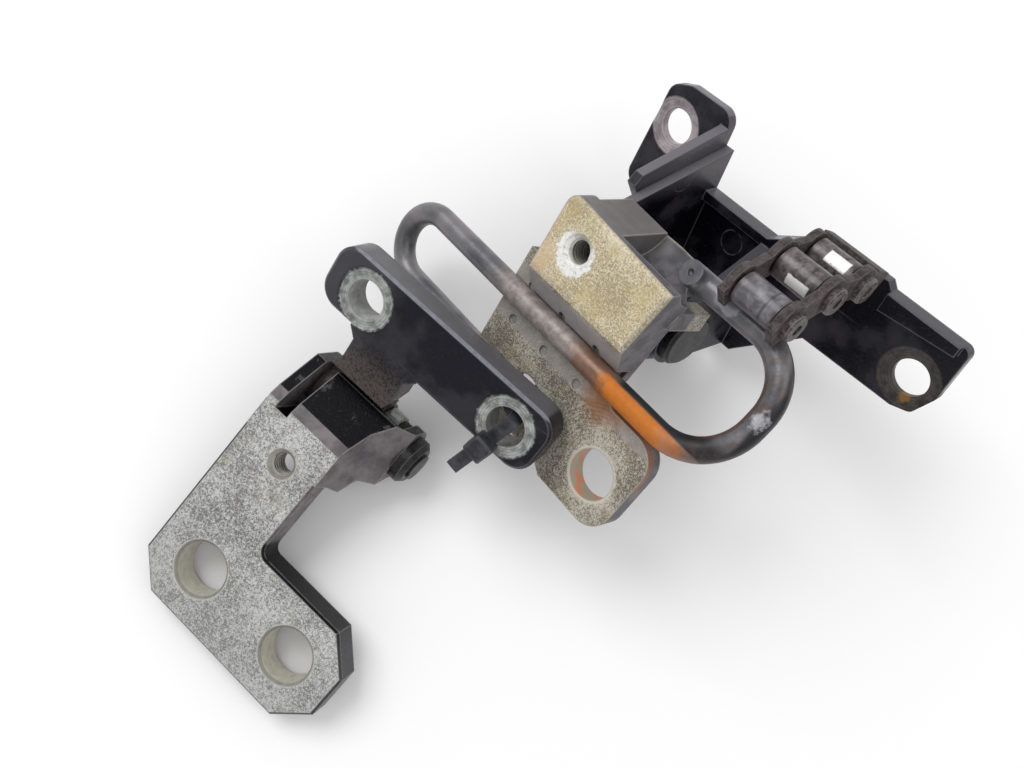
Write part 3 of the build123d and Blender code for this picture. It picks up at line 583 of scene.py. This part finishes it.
def yellowed_zinc(tree):
    place, along, across, height, facing = local_place(tree, right_door)
    wear = use(tree, edge_effect, Width=0.0008, Wear=0.9)
    yellow = use(
        tree, speck_effect, Place=place, Dark=colour(164, 149, 117), Light=colour(228, 217, 190), Clouds=0.35
    )
    beige = use(
        tree, speck_effect, Place=place, Dark=colour(104, 97, 86), Light=colour(196, 190, 176), Clouds=0.4
    )
    on_block = overlap(tree, fade(tree, height, *block_top), fade(tree, facing, 0.5, 0.8))
    on_flange = overlap(
        tree, fade(tree, height, *flange_top), fade(tree, height, *flange_foot), fade(tree, facing, 0.7, 0.9)
    )
    # The block's sides are smooth dark grey, paler and browner high up on the long side
    dark = blend(
        tree,
        fade(tree, grain(tree, place, 0.006, 4, 0.6, 3.0), 0.4, 0.62),
        colour(70, 69, 74),
        colour(104, 102, 106),
    )
    flank = overlap(tree, fade(tree, across, *flank_start), fade(tree, along, *flank_end))
    dark = over(
        tree, dark,
        blend(tree, grain(tree, place, 0.003, 5, 0.7), colour(92, 90, 92), colour(134, 128, 124)),
        flank, 0.7,
    )
    pink = fade(tree, calc(tree, "ADD", along, calc(tree, "MULTIPLY", across, 0.5)), *pink_start)
    tint = blend(tree, 0.5, yellow.outputs["Color"], colour(216, 178, 154))
    block_face = blend(
        tree,
        overlap(tree, pink, fade(tree, grain(tree, place, 0.005, 4, 0.6, 9.0), 0.4, 0.6)),
        yellow.outputs["Color"],
        tint,
    )
    olive = calc(tree, "MULTIPLY", fade(tree, grain(tree, place, 0.008, 4, 0.6, 11.0), 0.48, 0.64), 0.40)
    block_face = blend(tree, olive, block_face, colour(190, 174, 116))
    brown = calc(tree, "MULTIPLY", fade(tree, grain(tree, place, 0.007, 5, 0.7, 5.0), 0.52, 0.68), 0.55)
    flange_face = blend(tree, brown, beige.outputs["Color"], colour(146, 132, 88))
    base = blend(tree, on_block, dark, block_face)
    base = blend(tree, on_flange, base, flange_face)
    # The low side slopes down to the rod, smooth and grey below the specks
    slope = overlap(
        tree, fade(tree, facing, 0.68, 0.72), fade(tree, facing, 0.84, 0.8), fade(tree, across, *slope_start)
    )
    smooth_grey = blend(
        tree, grain(tree, place, 0.0026, 5, 0.6, 2.0), colour(122, 118, 118), colour(176, 171, 168)
    )
    base = blend(
        tree, slope, base, blend(tree, fade(tree, height, *speck_line), smooth_grey, beige.outputs["Color"])
    )
    # A stop below the block's end is bare and specked at its foot
    stop = overlap(
        tree, fade(tree, height, *stop_top), fade(tree, height, *stop_foot), fade(tree, along, *stop_side)
    )
    base = blend(tree, stop, base, beige.outputs["Color"])
    # Pressed lips beside the rod are smooth and grey
    lips = overlap(
        tree, fade(tree, size_of(tree, calc(tree, "SUBTRACT", across, groove_across)), *lip_reach), on_flange
    )
    base = over(
        tree, base,
        blend(tree, grain(tree, place, 0.003, 4), colour(126, 121, 119), colour(176, 170, 166)),
        lips, 0.75,
    )
    # Rust at the end of the groove, run down over the neck of the lug
    from_groove = away_from(tree, place, groove_end)
    rust = fade(tree, waver(tree, from_groove, grain(tree, place, 0.003, 5, 0.7), 0.014), 0.018, 0.01)
    base = over(
        tree, base,
        blend(tree, grain(tree, place, 0.0012, 4, 0.8, 2.0), colour(98, 56, 32), colour(176, 118, 70)),
        rust, 0.85,
    )
    lug_wall = overlap(
        tree,
        fade(tree, size_of(tree, facing), 0.6, 0.3),
        fade(tree, across, *lug_low),
        fade(tree, across, *lug_high),
    )
    run = overlap(
        tree, lug_wall,
        fade(tree, along, *lug_side),
        fade(tree, waver(tree, height, grain(tree, place, 0.004, 4, 0.7, 8.0), 0.01), 0.033, 0.0375),
    )
    base = over(
        tree, base,
        blend(tree, grain(tree, place, 0.002, 4, 0.8, 3.0), colour(104, 62, 38), colour(188, 118, 60)),
        run, 0.8,
    )
    # Bare ring round the threaded hole, wider on one side, and the marks of a washer turned on the lug
    ring = use(tree, ring_effect, Place=place, Centre=thread_scuff, Radius=scuff_radius, Ragged=0.0042)
    bright = overlap(
        tree, ring.outputs["Mask"], fade(tree, height, *scuff_height), fade(tree, across, *scuff_side)
    )
    base = blend(
        tree, bright, base,
        blend(
            tree,
            fade(tree, grain(tree, place, 0.001, 5, 0.75), 0.28, 0.54),
            colour(176, 176, 170),
            colour(244, 244, 240),
        ),
    )
    washer = use(tree, ring_effect, Place=place, Centre=washer_centre, Radius=washer_radius)
    warp = waver(tree, washer.outputs["Distance"], grain(tree, place, 0.006, 3), 0.0034)
    turned = add(
        tree, "ShaderNodeMath", {"operation": "SINE"}, _0=calc(tree, "MULTIPLY", warp, 2 * pi / mark_spacing)
    ).outputs[0]
    marks = overlap(
        tree, fade(tree, turned, 0.2, 0.95), washer.outputs["Mask"], fade(tree, along, *marks_end)
    )
    base = over(tree, base, colour(84, 76, 64), calc(tree, "MULTIPLY", marks, on_flange), 0.38)
    rim = use(tree, ring_effect, Place=place, Centre=lug_hole, Radius=lug_rim)
    base = over(
        tree, base, colour(210, 204, 188), calc(tree, "MULTIPLY", rim.outputs["Mask"], on_flange), 0.8
    )
    bore = overlap(tree, rim.outputs["Mask"], fade(tree, facing, 0.6, 0.3))
    base = blend(
        tree, bore, base,
        blend(
            tree,
            fade(tree, grain(tree, place, 0.004, 3, 0.5, 4.0), 0.45, 0.6),
            colour(172, 166, 146),
            colour(212, 142, 106),
        ),
    )
    # Painted shade: the threaded hole is painted dark grey below its mouth
    thread = use(tree, ring_effect, Place=place, Centre=right_thread, Radius=thread_mouth)
    thread_shade = overlap(tree, thread.outputs["Mask"], fade(tree, height, *thread_depth))
    base = blend(
        tree, thread_shade, base,
        blend(tree, grain(tree, place, 0.001, 3), colour(64, 64, 58), colour(128, 128, 118)),
    )
    # The edge of the hollow and other edges are rubbed bright
    base = over(tree, base, colour(190, 186, 178), wear.outputs["Mask"], 0.7)
    rough = blend_value(tree, calc(tree, "MAXIMUM", on_block, on_flange), 0.40, 0.56)
    rough = blend_value(tree, lips, rough, 0.36)
    return base, rough, beige.outputs["Height"], 0.00018, wear.outputs["Normal"]


yellow_forging = finish_material("yellowed_zinc_forging", yellowed_zinc, specular=0.3)
clothe(yellow_forging, "right_door_bracket")
cut_thread(
    "right_thread_turns", right_door, right_thread,
    top=0.0385,
    turns=11.0,
    material=yellow_forging,
    body="tied_halves",
)
clothe(bpy.data.materials["oiled_bronze"], "right_upper_bush", "right_lower_bush")

# Check rod
# A bent round bar of spring steel. It is plated with its bracket where it lies in the groove, rusts
# where it leaves it, and is dark and greasy beyond, the dark partly painted shade along its outer side,
# with a rubbed patch on the outside of the bend that also carries a painted highlight.

groove_leg_side, groove_start, plated_end = (0.000, -0.004), (-0.036, -0.024), (0.0100, 0.0010)
scale_start, scale_end, rust_start, rust_end = (-0.001, 0.006), (0.020, 0.015), (0.012, 0.017), (0.050, 0.032)
shade_stripe_start, bend_start, brown_start = (0.016, 0.020), (0.034, 0.042), (0.036, 0.050)
crown_start, crown_side = (0.0508, 0.0522), (0.024, 0.014)
# Centre, radius and colour of each patch that is rubbed bright and carries a painted highlight
rubbed_and_highlight_patches = (
    ((0.0520, 0.0090, 0.0335), 0.0040, (222, 222, 226)),
    ((0.0262, 0.0248, 0.0272), 0.0050, (172, 172, 182)),
)


def rusty_rod(tree):
    place, along, across, height, _ = local_place(tree, right_door)
    wear = use(tree, edge_effect, Width=0.0004, Wear=0.6)
    cloud = grain(tree, place, 0.013, 4, 0.55)
    steel = blend(tree, fade(tree, cloud, 0.38, 0.64), colour(88, 88, 92), colour(128, 126, 129))
    steel = over(
        tree, steel,
        colour(166, 160, 156),
        fade(tree, grain(tree, place, 0.0008, 4, 0.85, 3.0), 0.54, 0.68),
        0.22,
    )
    groove_leg = fade(tree, across, *groove_leg_side)
    in_groove = overlap(tree, fade(tree, along, *groove_start), fade(tree, along, *plated_end), groove_leg)
    specked = fade(tree, grain(tree, place, 0.0024, 5, 0.7), 0.34, 0.66)
    base = blend(tree, in_groove, steel, blend(tree, specked, colour(128, 119, 116), colour(166, 158, 154)))
    ragged = calc(
        tree, "MULTIPLY", calc(tree, "SUBTRACT", grain(tree, place, 0.004, 5, 0.7, 6.0), 0.5), 0.016
    )
    reach = calc(tree, "ADD", along, ragged)
    # Brown scale to the groove's end, then orange on the outer two thirds beside a black stripe of painted
    # shade
    scale = overlap(tree, fade(tree, reach, *scale_start), fade(tree, reach, *scale_end), groove_leg)
    base = over(
        tree, base,
        blend(tree, grain(tree, place, 0.0014, 5, 0.8, 4.0), colour(70, 48, 38), colour(168, 118, 84)),
        scale, 0.75,
    )
    rust = overlap(tree, fade(tree, reach, *rust_start), fade(tree, reach, *rust_end), groove_leg)
    inner = fade(tree, calc(tree, "SUBTRACT", across, calc(tree, "MULTIPLY", height, 0.38)), -0.0211, -0.0219)
    fresh = blend(tree, grain(tree, place, 0.0020, 5, 0.75, 1.0), colour(172, 86, 14), colour(228, 140, 34))
    base = over(tree, base, fresh, calc(tree, "MULTIPLY", rust, inner), 0.95)
    # Painted shade: a black stripe along the side of the rod away from the orange rust
    black = overlap(tree, fade(tree, along, *shade_stripe_start), outside(tree, inner), groove_leg)
    base = over(tree, base, colour(24, 22, 26), black, 0.9)
    brown = overlap(
        tree, fade(tree, along, *brown_start), fade(tree, grain(tree, place, 0.006, 5, 0.7, 9.0), 0.46, 0.62)
    )
    base = over(tree, base, colour(92, 72, 58), brown, 0.6)
    # The bend is black along its outer side, browner inside, and nearly black round the rubbed patch; the
    # black and the near black are painted shade
    outward = facing_way(tree, right_door, 0)
    on_bend = fade(tree, along, *bend_start)
    base = over(tree, base, colour(30, 29, 34), overlap(tree, on_bend, fade(tree, outward, 0.5, 0.72)), 0.75)
    base = over(
        tree, base, colour(118, 84, 64), overlap(tree, on_bend, fade(tree, outward, -0.45, -0.75)), 0.55
    )
    # Painted shade: nearly black round the rubbed patch on the bend's crown
    outer = overlap(tree, fade(tree, along, *crown_start), fade(tree, across, *crown_side))
    base = over(tree, base, colour(22, 21, 26), outer, 0.9)
    # Rubbed patches painted bright, partly worn metal and partly a painted highlight
    for centre, size, pale in rubbed_and_highlight_patches:
        apart = away_from(tree, place, centre)
        patch = fade(
            tree, waver(tree, apart, grain(tree, place, 0.002, 4), 0.006), size + 0.0026, size + 0.0012
        )
        base = over(
            tree, base,
            blend(tree, grain(tree, place, 0.0007, 3, 0.8), colour(132, 132, 138), colour(*pale)),
            patch, 0.85,
        )
    rough = blend_value(tree, rust, calc(tree, "ADD", calc(tree, "MULTIPLY", cloud, 0.2), 0.24), 0.62)
    rough = blend_value(tree, in_groove, rough, 0.46)
    bumps = blend_value(
        tree, rust, grain(tree, place, 0.0016, 4, 0.6, 2.0), grain(tree, place, 0.0007, 5, 0.8, 2.0)
    )
    return base, rough, bumps, 0.00012, wear.outputs["Normal"]


clothe(finish_material("rusty_spring_steel", rusty_rod, metallic=0.3), "check_rod")

# Right body bracket
# Two pressed plates in gloss black paint, a channel with two arms and a plate with the upper ear,
# worn pale in the dished rings of both ears.

body_turn = 18.5
right_body = hinge_frame(joints["right_hinge"], right_facing, body_turn)
lower_ear, upper_ear = (0.0603, 0.0190, 0), (-0.0376, 0.0360, 0)
rust_spot, upper_arm, high_arm_end = (0.0622, 0.0134, -0.0275), (-0.012, -0.017), (0.026, 0.036)
# Centre and radius of each faint ring that a tool has left
tool_rings = (((-0.0035, 0.0176, -0.0260), 0.0037), ((-0.0175, 0.0326, -0.0107), 0.0035))


def pressed_black(tree):
    coords, base, rough, bumps, normal = black_paint(
        tree, right_body, deep=(13, 13, 22), pale=(52, 50, 58), patch=0.018, patch_seed=6.2
    )
    place, along, across, facing = coords
    # The sheet's cut edges are pale, most of all round the upper arm; the arms' own faces stay dark
    wall = fade(tree, size_of(tree, facing_way(tree, right_body, 0)), 0.6, 0.8)
    rims = overlap(tree, fade(tree, facing, 0.7, 0.5), outside(tree, wall))
    upper = fade(tree, along, *upper_arm)
    base = blend(
        tree,
        calc(tree, "MULTIPLY", rims, blend_value(tree, upper, 0.7, 0.9)),
        base,
        blend(tree, upper, colour(84, 83, 88), colour(116, 114, 120)),
    )
    high_end = overlap(tree, calc(tree, "MULTIPLY", wall, upper), fade(tree, across, *high_arm_end))
    base = over(tree, base, colour(92, 88, 93), high_end, 0.8)
    base, rough = bare_seat(
        tree, place, lower_ear, base, rough, light=(88, 85, 80), dark=(50, 47, 45), ragged=0.0006
    )
    base, rough = bare_seat(
        tree, place, upper_ear, base, rough, light=(196, 187, 190), dark=(132, 123, 127), ragged=0.0006
    )
    spot = away_from(tree, place, rust_spot)
    rusty = fade(tree, waver(tree, spot, grain(tree, place, 0.0012, 4), 0.003), 0.0036, 0.0026)
    base = over(tree, base, colour(150, 112, 56), rusty, 0.7)
    for centre, size in tool_rings:
        apart = away_from(tree, place, centre)
        line = fade(tree, size_of(tree, calc(tree, "SUBTRACT", apart, size)), 0.0003, 0.0001)
        broken = overlap(tree, line, fade(tree, grain(tree, place, 0.003, 2, 0.5, 5.0), 0.4, 0.55))
        base = over(tree, base, colour(104, 98, 94), broken, 0.7)
    return base, rough, bumps, 0.00010, normal


clothe(finish_material("pressed_black_paint", pressed_black, specular=0.22), "body_channel", "ear_plate")
clothe(bpy.data.materials["oily_dark_steel"], "right_hinge_pin", "right_retaining_ring")

# Roller comb
# A pressed cage with three steel rollers on riveted studs. Old brown grease and road dirt cover it;
# the rollers' working faces stay smooth.

comb_left = (0.0130, 0.0110)
low_end, high_end, score_line = (0.0290, 0.0278), (0.0385, 0.0396), 0.0362
# The polished patches, painted near white as a painted reflection: how far they reach along the rollers, then
# across and up on the middle and last roller
reflection_along = ((0.0316, 0.0320), (0.0384, 0.0379))
middle_across, middle_up = ((0.0393, 0.0396), (0.0425, 0.0421)), ((0.0080, 0.0085), (0.0125, 0.0115))
last_across, last_up = (0.0425, 0.0428), ((-0.0074, -0.0070), (-0.0045, -0.0049))


def greasy_comb(tree):
    place = local_place(tree, right_body)[0]
    wear = use(tree, edge_effect, Width=0.0006, Wear=0.6)
    lumps = grain(tree, place, 0.0022, 5, 0.7)
    dirt = grain(tree, place, 0.0008, 4, 0.8, 3.0)
    base = blend(tree, fade(tree, lumps, 0.36, 0.64), colour(30, 25, 26), colour(84, 74, 73))
    base = over(tree, base, colour(124, 112, 106), fade(tree, dirt, 0.52, 0.66), 0.5)
    base = over(tree, base, colour(140, 131, 128), wear.outputs["Mask"], 0.45)
    rough = calc(tree, "ADD", calc(tree, "MULTIPLY", dirt, 0.35), 0.38)
    bumps = calc(tree, "ADD", lumps, calc(tree, "MULTIPLY", dirt, 0.35))
    return base, rough, bumps, 0.0009, wear.outputs["Normal"]


def ground_roller(tree):
    place, along, across, height, _ = local_place(tree, right_body)
    film = grain(tree, place, 0.0035, 4, 0.6)
    base = blend(tree, fade(tree, film, 0.42, 0.66), colour(86, 83, 88), colour(128, 125, 130))
    # The two rollers that the rod has left are brown with grease, with a polished patch each that is painted
    # near white as a painted reflection
    greasy = fade(tree, height, *comb_left)
    base = over(
        tree, base,
        blend(
            tree,
            fade(tree, grain(tree, place, 0.0018, 5, 0.7, 2.0), 0.38, 0.62),
            colour(58, 50, 50),
            colour(116, 106, 105),
        ),
        greasy, 0.85,
    )
    ends = calc(tree, "MAXIMUM", fade(tree, along, *low_end), fade(tree, along, *high_end))
    base = over(tree, base, colour(58, 49, 46), ends, 0.6)
    worn = fade(tree, size_of(tree, calc(tree, "SUBTRACT", along, score_line)), 0.0005, 0.0002)
    base = over(tree, base, colour(38, 33, 32), worn, 0.6)
    shift = calc(
        tree, "MULTIPLY", calc(tree, "SUBTRACT", grain(tree, place, 0.0012, 4, 0.7, 7.0), 0.5), 0.0008
    )
    side = calc(tree, "ADD", across, shift)
    rise = calc(tree, "ADD", height, shift)
    long = overlap(tree, *(fade(tree, along, *pair) for pair in reflection_along))
    middle = overlap(
        tree,
        *(fade(tree, side, *pair) for pair in middle_across),
        *(fade(tree, rise, *pair) for pair in middle_up),
    )
    last = overlap(tree, *(fade(tree, rise, *pair) for pair in last_up), fade(tree, side, *last_across))
    polished_reflection = calc(tree, "MULTIPLY", long, calc(tree, "MAXIMUM", middle, last))
    pits = fade(tree, grain(tree, place, 0.0007, 3, 0.7, 5.0), 0.70, 0.64)
    polished_reflection = calc(tree, "MULTIPLY", polished_reflection, pits)
    # Painted reflection: the polished patches are painted near white
    base = blend(tree, polished_reflection, base, colour(253, 252, 250))
    rough = calc(tree, "ADD", calc(tree, "MULTIPLY", film, 0.3), 0.18)
    return base, rough, film, 0.00005, None


def riveted_cap(tree):
    place = local_place(tree, right_body)[0]
    wear = use(tree, edge_effect, Width=0.0005, Wear=0.9)
    dirt = grain(tree, place, 0.0010, 4, 0.75, 2.0)
    base = blend(tree, fade(tree, dirt, 0.38, 0.62), colour(50, 43, 42), colour(112, 104, 102))
    base = over(tree, base, colour(160, 154, 152), wear.outputs["Mask"], 0.7)
    rough = calc(tree, "ADD", calc(tree, "MULTIPLY", dirt, 0.3), 0.28)
    return base, rough, dirt, 0.0003, wear.outputs["Normal"]


clothe(finish_material("greasy_comb_cage", greasy_comb), "roller_cage")
roller_steel = finish_material("ground_roller_steel", ground_roller, metallic=0.1)
cap_steel = finish_material("riveted_cap_steel", riveted_cap, metallic=0.25)
for number in "123":
    clothe(roller_steel, "roller_" + number, "roller_stud_" + number)
    clothe(cap_steel, "roller_cap_" + number)

# Cable tie
# A moulded dark grey nylon tie, satin, with a fine drag texture along the band.


def moulded_nylon(tree):
    source = add(tree, "ShaderNodeTexCoord").outputs["Object"]
    wear = use(tree, edge_effect, Width=0.0003, Wear=0.8)
    cloud = grain(tree, source, 0.003, 4, 0.6)
    base = blend(tree, fade(tree, cloud, 0.38, 0.64), colour(30, 31, 37), colour(62, 63, 70))
    base = over(tree, base, colour(126, 127, 132), wear.outputs["Mask"], 0.5)
    rough = calc(tree, "ADD", calc(tree, "MULTIPLY", cloud, 0.2), 0.34)
    drag = grain(tree, source, 0.0006, 3, 0.6)
    return base, rough, drag, 0.00005, wear.outputs["Normal"]


clothe(finish_material("moulded_grey_nylon", moulded_nylon), "cable_tie_band", "cable_tie_head")

# Table, light and camera
# A plain white table under a broad soft light from above and behind, and a camera almost straight
# above, as in a parts photograph.

table_mesh = bpy.data.meshes.new("table")
reach = 4.0
corners = [(-reach, -reach, 0), (reach, -reach, 0), (reach, reach, 0), (-reach, reach, 0)]
table_mesh.from_pydata(corners, [], [(0, 1, 2, 3)])
table = bpy.data.objects.new("table", table_mesh)
bpy.context.scene.collection.objects.link(table)
table_paint = bpy.data.materials.new("white_table_top")
table_paint.use_nodes = True
shader = table_paint.node_tree.nodes["Principled BSDF"]
shader.inputs["Roughness"].default_value = 0.9
shader.inputs["Specular IOR Level"].default_value = 0.0
paper_white = (1.0, 0.995, 1.0, 1)
top = table_paint.node_tree
ray = add(top, "ShaderNodeLightPath").outputs
seen = calc(
    top, "MAXIMUM",
    ray["Is Camera Ray"],
    calc(top, "MAXIMUM", ray["Is Glossy Ray"], ray["Is Transmission Ray"]),
)
top.links.new(blend(top, seen, colour(222, 218, 221), paper_white), shader.inputs["Base Color"])
table_mesh.materials.append(table_paint)

scene = bpy.context.scene
scene.view_settings.view_transform = "Standard"
world = bpy.data.worlds.new("soft_room")
scene.world = world
world.use_nodes = True
room = world.node_tree
sky = room.nodes["Background"]
sky_ray = add(room, "ShaderNodeLightPath").outputs["Is Camera Ray"]
room_light, seen_light = 0.62, 1.0
room.links.new(blend_value(room, sky_ray, room_light, seen_light), sky.inputs["Strength"])
sky.inputs["Color"].default_value = paper_white

# Name, place, diameter and power of each lamp
lamps = (("key", (-0.5, 0.7, 1.3), 1.0, 10.0), ("fill", (0.9, -0.4, 1.2), 1.2, 4.0))
for name, place, size, power in lamps:
    lamp = bpy.data.lights.new(name, "AREA")
    lamp.shape, lamp.size, lamp.energy = "DISK", size, power
    light = bpy.data.objects.new(name, lamp)
    aim = Vector(place).to_track_quat("Z", "Y").to_matrix().to_4x4()
    light.matrix_world = Matrix.Translation(place) @ aim
    scene.collection.objects.link(light)

camera_data = bpy.data.cameras.new("camera")
camera_data.sensor_width = 36.0
camera_data.lens = 31.64
camera_data.clip_start = 0.01
camera = bpy.data.objects.new("camera", camera_data)
camera_place = (-0.000629, -0.057177, 0.280091)
right = Vector((0.999941, 0.00125, -0.0108))
down = Vector((-0.00125, -0.973566, -0.228402))
ahead = Vector((-0.0108, 0.228402, -0.973507))
camera.matrix_world = Matrix.Translation(camera_place) @ Matrix((right, -down, -ahead)).transposed().to_4x4()
scene.collection.objects.link(camera)
scene.camera = camera
